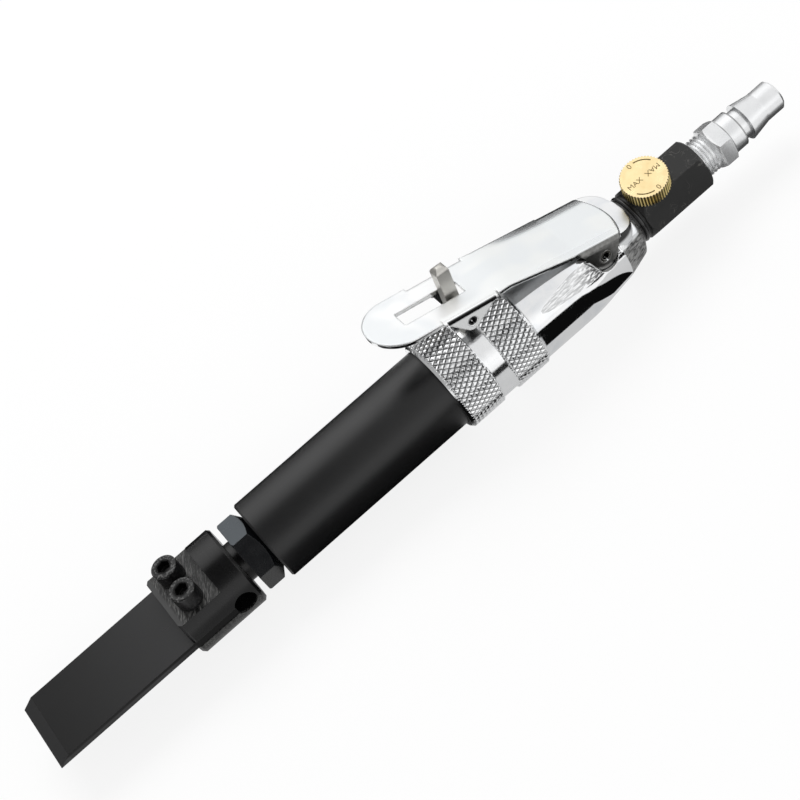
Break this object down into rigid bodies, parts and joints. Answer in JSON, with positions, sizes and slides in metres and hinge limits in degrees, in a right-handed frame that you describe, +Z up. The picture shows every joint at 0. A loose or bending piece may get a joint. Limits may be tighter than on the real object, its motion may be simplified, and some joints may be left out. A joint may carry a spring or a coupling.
{
  "type": "pneumatic scraper",
  "caption": "Hand held air scraper with a clamped flat blade, black barrel, knurled chrome collar, throttle lever with lock-off catch, brass air regulator and quick plug.",
  "frame": {"origin": "middle of the tool's length, under its axis, on the surface that the knurled collar rests on", "axes": "+X along the tool from the blade to the air plug, +Z up through the throttle lever, -Y the side that faces the camera"},
  "size_m": [0.3, 0.0328, 0.056],
  "materials": {
    "blade_black": "black oxide, ground smooth",
    "black_oxide": "black oxide, machining marks",
    "barrel_black": "satin black",
    "chrome": "bright chrome plate",
    "knurled_chrome": "bright chrome plate on a diamond knurl",
    "steel": "bright steel",
    "catch_steel": "satin zinc plate",
    "bronze": "machined bronze",
    "brass": "bright brass",
    "plated": "nickel plate",
    "rubber": "matt black"
  },
  "bodies": {
    "body": {"barrel": "barrel_black", "front_nut": "black_oxide", "return_spring": "steel", "buffer_ring": "rubber", "front_bush": "bronze", "cylinder_liner": "steel", "valve_body": "steel", "valve_cap": "steel", "barrel_gasket": "rubber", "knurled_collar": "knurled_chrome", "throttle_housing": "chrome", "housing_seal": "rubber", "lever_pin": "steel", "valve_seat": "bronze", "valve_spring": "steel", "regulator_body": "black_oxide", "neck_seal": "rubber", "stem_pin": "steel", "quick_plug": "plated"},
    "blade_unit": {"blade": "blade_black", "blade_holder": "black_oxide", "clamp_screws": "black_oxide", "spring_washers": "black_oxide"},
    "piston": {"hammer_piston": "steel"},
    "flapper": {"valve_disc": "steel"},
    "lever": {"throttle_lever": "chrome", "safety_pin": "steel", "safety_spring": "steel"},
    "catch": {"safety_catch": "catch_steel"},
    "push_pin": {"throttle_pin": "steel", "throttle_pin_seal": "rubber"},
    "throttle_valve": {"tilt_valve": "steel"},
    "knob": {"regulator_knob": "brass", "stem_seal": "rubber"}
  },
  "joints": [
    {"name": "blade_stroke", "type": "slide", "parent": "body", "child": "blade_unit", "axis": [-1, 0, 0], "range_m": [0, 0.004], "stiffness_N_per_m": 4000, "springref_m": -0.005, "deforming": ["return_spring"]},
    {"name": "piston_stroke", "type": "slide", "parent": "body", "child": "piston", "axis": [-1, 0, 0], "range_m": [-0.0047, 0.0062]},
    {"name": "flapper_lift", "type": "slide", "parent": "body", "child": "flapper", "axis": [1, 0, 0], "range_m": [0, 0.0008]},
    {"name": "lever_pivot", "type": "hinge", "parent": "body", "child": "lever", "pos_m": [0.072, 0, 0.0249], "axis": [0, -1, 0], "range_deg": [0, 6], "stiffness_Nm_per_rad": 1.5, "springref_deg": -11.46},
    {"name": "catch_pivot", "type": "hinge", "parent": "lever", "child": "catch", "pos_m": [0.0269, 0, 0.04019], "axis": [0, -1, 0], "range_deg": [0, 62], "deforming": ["safety_spring"]},
    {"name": "push_pin_slide", "type": "slide", "parent": "body", "child": "push_pin", "axis": [0, 0, -1], "range_m": [0, 0.0023]},
    {"name": "valve_tilt", "type": "hinge", "parent": "body", "child": "throttle_valve", "pos_m": [0.065, 0, 0.02], "axis": [0, -1, 0], "range_deg": [0, 12], "deforming": ["valve_spring"]},
    {"name": "knob_turn", "type": "hinge", "parent": "body", "child": "knob", "pos_m": [0.0976, 0, 0.0164], "axis": [0, -0.2181, 0.9759], "range_deg": [0, 90]}
  ],
  "couplings": [
    {"joint": "catch_pivot", "follows": "lever_pivot", "ratio": 10},
    {"joint": "push_pin_slide", "follows": "lever_pivot", "m_per_rad": 0.0212},
    {"joint": "valve_tilt", "follows": "lever_pivot", "ratio": 1.95}
  ]
}
